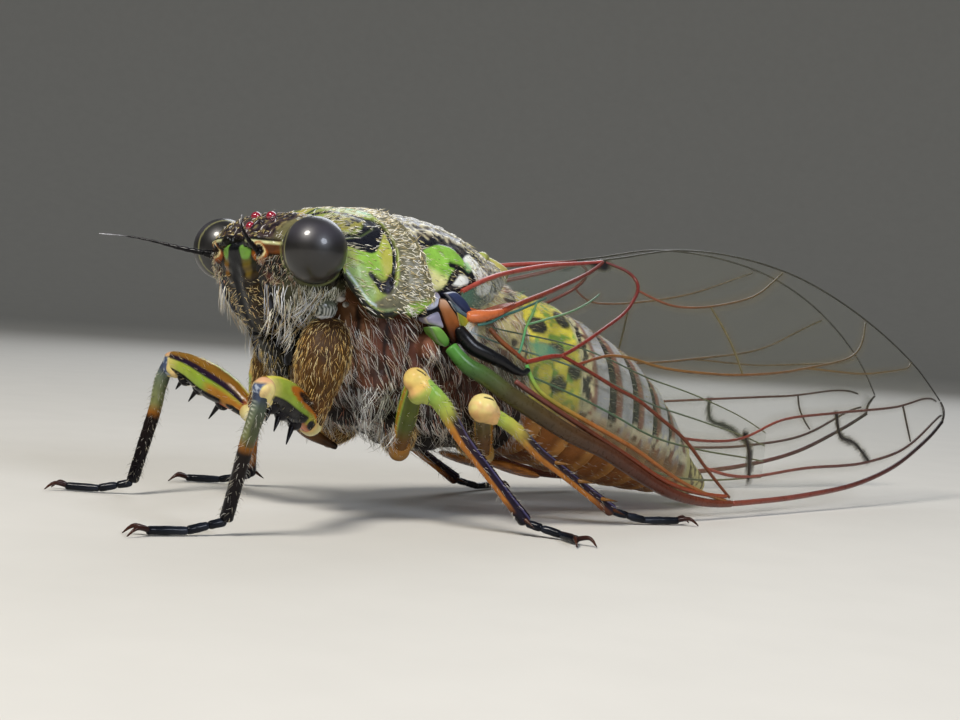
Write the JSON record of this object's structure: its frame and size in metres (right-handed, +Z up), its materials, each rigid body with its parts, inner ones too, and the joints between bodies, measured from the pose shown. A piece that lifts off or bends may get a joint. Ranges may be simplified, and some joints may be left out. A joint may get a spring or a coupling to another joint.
{
  "type": "chorus cicada model",
  "caption": "Life-size model of a chorus cicada at rest, with clear veined wings folded like a roof, round eyes at the sides of a broad head, a ridged face and slender legs.",
  "frame": {"origin": "middle of the footprint's box, on the floor that the feet stand on", "axes": "+Z up, -Y the way the head faces, +X the animal's left"},
  "size_m": [0.021, 0.048, 0.0121],
  "materials": {
    "crown": "satin",
    "face": "gloss",
    "eye": "gloss",
    "feeler": "satin",
    "green_shield": "satin",
    "striped_shield": "satin",
    "underside": "matte",
    "abdomen": "satin",
    "plate": "satin",
    "wing": "gloss",
    "leg_green": "satin",
    "leg_dark": "gloss"
  },
  "bodies": {
    "root": {"abdomen": "abdomen", "anteclypeus": "face", "antenna_left": "feeler", "antenna_right": "feeler", "eye_left": "eye", "eye_right": "eye", "fore_left_coxa": "underside", "fore_left_femur": "leg_green", "fore_left_tarsus": "leg_dark", "fore_left_tibia": "leg_green", "fore_right_coxa": "underside", "fore_right_femur": "leg_green", "fore_right_tarsus": "leg_dark", "fore_right_tibia": "leg_green", "forewing_left": "wing", "forewing_right": "wing", "head": "crown", "hind_left_coxa": "underside", "hind_left_femur": "leg_green", "hind_left_tarsus": "leg_dark", "hind_left_tibia": "leg_green", "hind_right_coxa": "underside", "hind_right_femur": "leg_green", "hind_right_tarsus": "leg_dark", "hind_right_tibia": "leg_green", "hindwing_left": "wing", "hindwing_right": "wing", "mesonotum": "striped_shield", "mid_left_coxa": "underside", "mid_left_femur": "leg_green", "mid_left_tarsus": "leg_dark", "mid_left_tibia": "leg_green", "mid_right_coxa": "underside", "mid_right_femur": "leg_green", "mid_right_tarsus": "leg_dark", "mid_right_tibia": "leg_green", "operculum_left": "plate", "operculum_right": "plate", "postclypeus": "face", "pronotum": "green_shield", "pygofer": "abdomen", "rostrum": "face", "thorax": "underside"}
  },
  "joints": []
}
